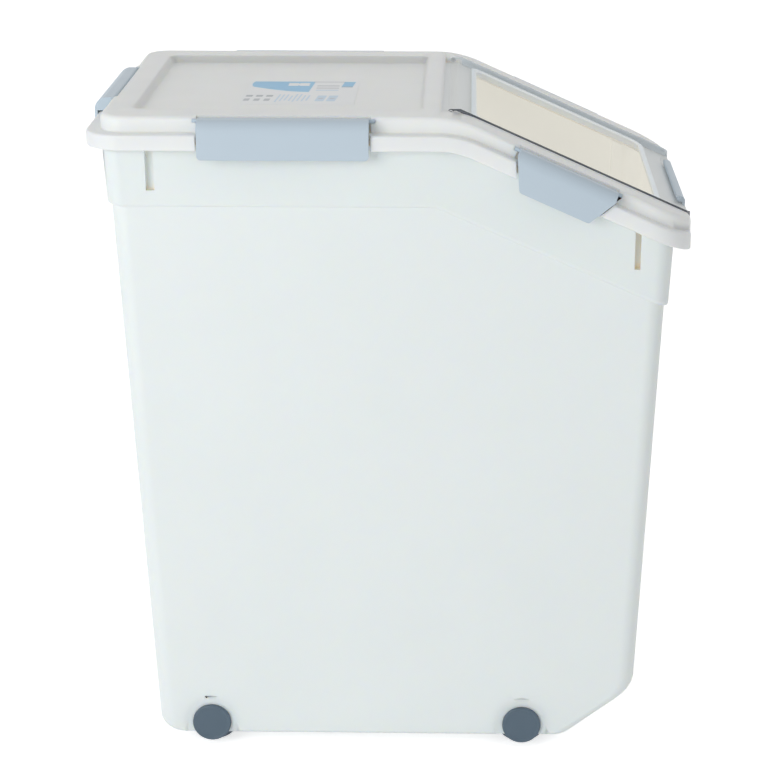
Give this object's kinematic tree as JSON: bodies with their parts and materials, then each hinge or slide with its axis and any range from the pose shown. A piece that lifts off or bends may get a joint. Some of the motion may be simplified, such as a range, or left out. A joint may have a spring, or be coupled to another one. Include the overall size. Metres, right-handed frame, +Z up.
{
  "type": "rice bin with flip lid",
  "caption": "Tall kitchen rice bin on wheels: a tapered tub, a lid that bends down to the front, a clear flip cover over the scooping mouth and swing latches.",
  "frame": {"origin": "on the floor under the middle of the bin, latches closed", "axes": "+X towards the low front end of the lid, +Y to the far side, +Z up"},
  "size_m": [0.4625, 0.3104, 0.5355],
  "materials": {
    "white_plastic": "satin moulded",
    "clear_plastic": "polished clear",
    "latch_plastic": "satin moulded",
    "cap_plastic": "satin moulded",
    "wheel_plastic": "matte",
    "axle_steel": "turned",
    "seal": "soft matte"
  },
  "bodies": {
    "tub": {"tub": "white_plastic", "axle_rear_near": "axle_steel", "axle_rear_far": "axle_steel", "axle_front_near": "axle_steel", "axle_front_far": "axle_steel", "hub_cap_rear_near": "cap_plastic", "hub_cap_rear_far": "cap_plastic", "hub_cap_front_near": "cap_plastic", "hub_cap_front_far": "cap_plastic"},
    "lid": {"main_lid": "white_plastic", "lid_seal": "seal"},
    "cover": {"flip_cover": "clear_plastic", "cover_seal": "seal"},
    "side_latch_near": {"side_latch_near": "latch_plastic"},
    "side_latch_far": {"side_latch_far": "latch_plastic"},
    "slope_latch_near": {"slope_latch_near": "latch_plastic"},
    "slope_latch_far": {"slope_latch_far": "latch_plastic"},
    "rear_latch": {"rear_latch": "latch_plastic"},
    "front_latch": {"front_latch": "latch_plastic"},
    "wheel_rear_near": {"wheel_rear_near": "wheel_plastic"},
    "wheel_rear_far": {"wheel_rear_far": "wheel_plastic"},
    "wheel_front_near": {"wheel_front_near": "wheel_plastic"},
    "wheel_front_far": {"wheel_front_far": "wheel_plastic"}
  },
  "joints": [
    {"name": "lid_lift", "type": "slide", "parent": "tub", "child": "lid", "axis": [0, 0, 1], "range_m": [0, 0.15]},
    {"name": "cover_hinge", "type": "hinge", "parent": "lid", "child": "cover", "pos_m": [0.0455, 0, 0.5333], "axis": [0, -1, 0], "range_deg": [0, 110]},
    {"name": "side_latch_near_hinge", "type": "hinge", "parent": "lid", "child": "side_latch_near", "pos_m": [-0.079, -0.141, 0.5323], "axis": [-1, 0, 0], "range_deg": [0, 95]},
    {"name": "side_latch_far_hinge", "type": "hinge", "parent": "lid", "child": "side_latch_far", "pos_m": [-0.079, 0.141, 0.5323], "axis": [1, 0, 0], "range_deg": [0, 95]},
    {"name": "slope_latch_near_hinge", "type": "hinge", "parent": "lid", "child": "slope_latch_near", "pos_m": [0.13401, -0.141, 0.49423], "axis": [-0.9121, 0, 0.4099], "range_deg": [0, 95]},
    {"name": "slope_latch_far_hinge", "type": "hinge", "parent": "lid", "child": "slope_latch_far", "pos_m": [0.13401, 0.141, 0.49423], "axis": [0.9121, 0, -0.4099], "range_deg": [0, 95]},
    {"name": "rear_latch_hinge", "type": "hinge", "parent": "lid", "child": "rear_latch", "pos_m": [-0.2185, 0, 0.5323], "axis": [0, 1, 0], "range_deg": [0, 95]},
    {"name": "front_latch_hinge", "type": "hinge", "parent": "cover", "child": "front_latch", "pos_m": [0.2245, 0, 0.45543], "axis": [0, -1, 0], "range_deg": [0, 95]},
    {"name": "wheel_rear_near_spin", "type": "hinge", "parent": "tub", "child": "wheel_rear_near", "pos_m": [-0.1505, -0.09913, 0.022], "axis": [0, 1, 0], "continuous": true},
    {"name": "wheel_rear_far_spin", "type": "hinge", "parent": "tub", "child": "wheel_rear_far", "pos_m": [-0.1505, 0.09913, 0.022], "axis": [0, 1, 0], "continuous": true},
    {"name": "wheel_front_near_spin", "type": "hinge", "parent": "tub", "child": "wheel_front_near", "pos_m": [0.1055, -0.09913, 0.022], "axis": [0, 1, 0], "continuous": true},
    {"name": "wheel_front_far_spin", "type": "hinge", "parent": "tub", "child": "wheel_front_far", "pos_m": [0.1055, 0.09913, 0.022], "axis": [0, 1, 0], "continuous": true}
  ]
}
